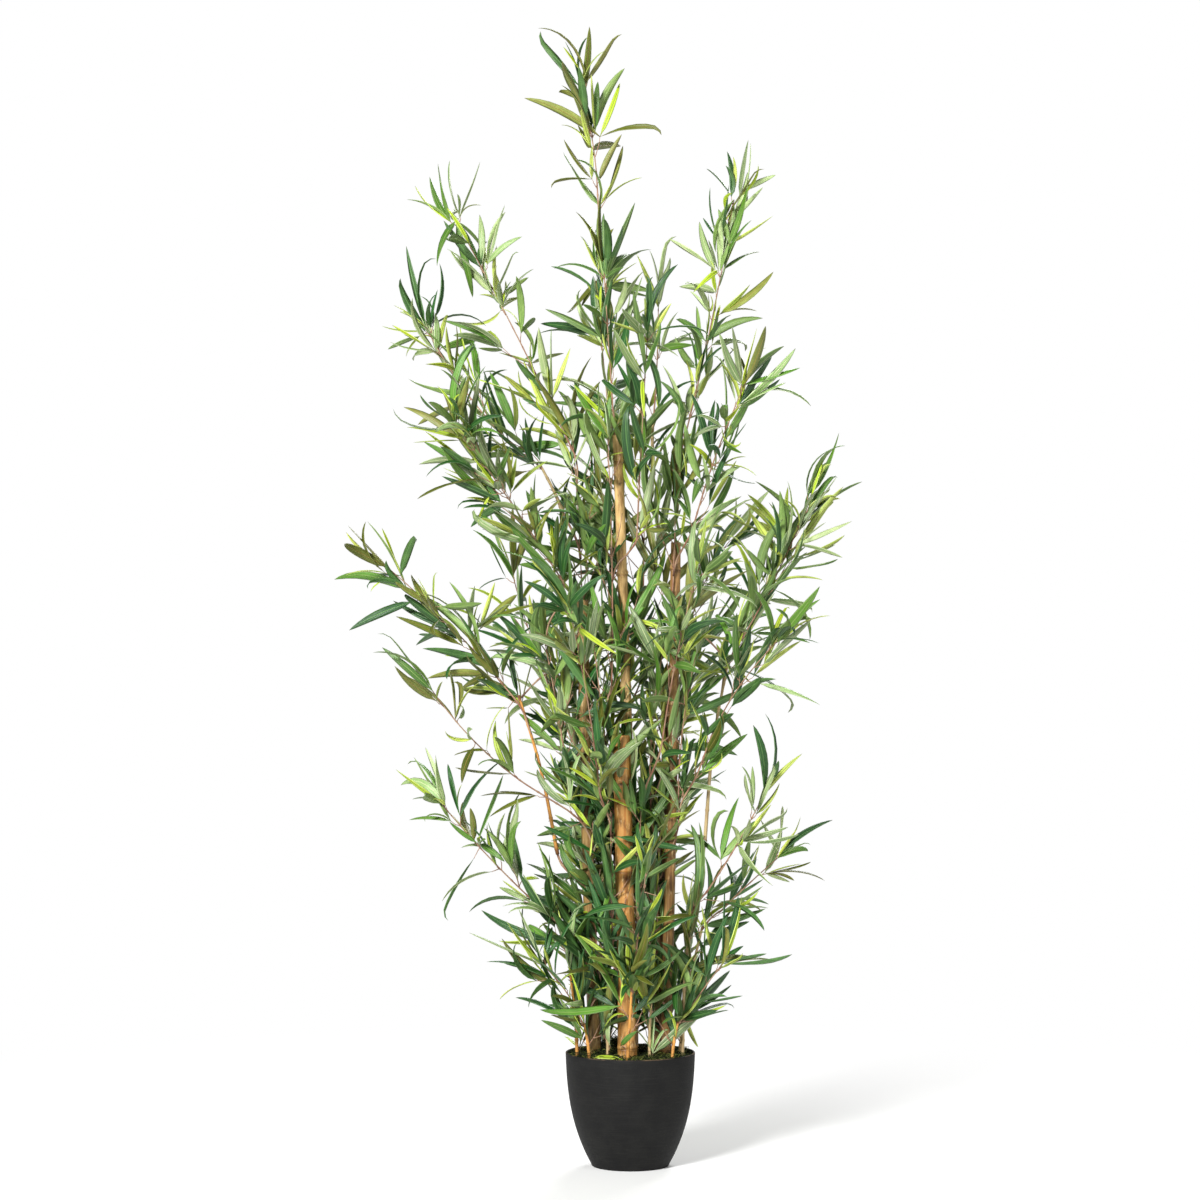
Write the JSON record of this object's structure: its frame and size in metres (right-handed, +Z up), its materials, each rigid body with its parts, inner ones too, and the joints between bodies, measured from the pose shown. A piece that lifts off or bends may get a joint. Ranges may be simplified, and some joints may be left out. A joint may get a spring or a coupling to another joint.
{
  "type": "artificial potted bamboo",
  "caption": "Tall artificial bamboo: natural canes and thin leafy stems rising from moss in a small round tapered pot.",
  "frame": {"origin": "centre of the flat underside of the pot", "axes": "+Z up along the pot's axis to the top of the plant; -Y is the side towards the viewer; +X is the viewer's right"},
  "size_m": [0.6891, 0.5517, 1.4978],
  "materials": {
    "pot": "matt black with a fine moulded texture",
    "moss": "dark curly dried moss",
    "cane": "natural bamboo cane, satin, with brown mottling and raised joints",
    "stem": "thin tan and brown stems and twigs, matt",
    "leaf": "printed woven leaf cloth in deep green, mid green, olive and lime, slightly satin"
  },
  "bodies": {
    "root": {"bough_mid_left": "stem", "bough_mid_right": "stem", "bough_upper_left_outer": "stem", "bough_upper_right_inner": "stem", "cane_front": "cane", "cane_left": "cane", "cane_right": "cane", "cane_right_back": "cane", "cane_tall": "cane", "foliage_back_left": "leaf", "foliage_back_low": "leaf", "foliage_back_right": "leaf", "foliage_back_upper": "leaf", "foliage_core_left": "leaf", "foliage_core_low": "leaf", "foliage_core_right": "leaf", "foliage_core_top": "leaf", "foliage_foot_left": "leaf", "foliage_foot_right": "leaf", "foliage_front_low": "leaf", "foliage_front_mid_left": "leaf", "foliage_front_mid_right": "leaf", "foliage_front_upper": "leaf", "foliage_left_shoulder": "leaf", "foliage_lower_left": "leaf", "foliage_lower_right": "leaf", "foliage_lower_right_outer": "leaf", "foliage_mid_left": "leaf", "foliage_mid_left_low": "leaf", "foliage_mid_right": "leaf", "foliage_mid_right_low": "leaf", "foliage_right_shoulder": "leaf", "foliage_spire": "leaf", "foliage_spire_top": "leaf", "foliage_upper_left": "leaf", "foliage_upper_left_outer": "leaf", "foliage_upper_right": "leaf", "foliage_upper_right_inner": "leaf", "moss_fill": "moss", "pot": "pot", "stem_back": "stem", "stem_core_far_left": "stem", "stem_core_far_right": "stem", "stem_core_left": "stem", "stem_core_right": "stem", "stem_foot_left": "stem", "stem_foot_right": "stem", "stem_front": "stem", "stem_lower_left": "stem", "stem_lower_right": "stem", "stem_lower_right_outer": "stem"}
  },
  "joints": []
}
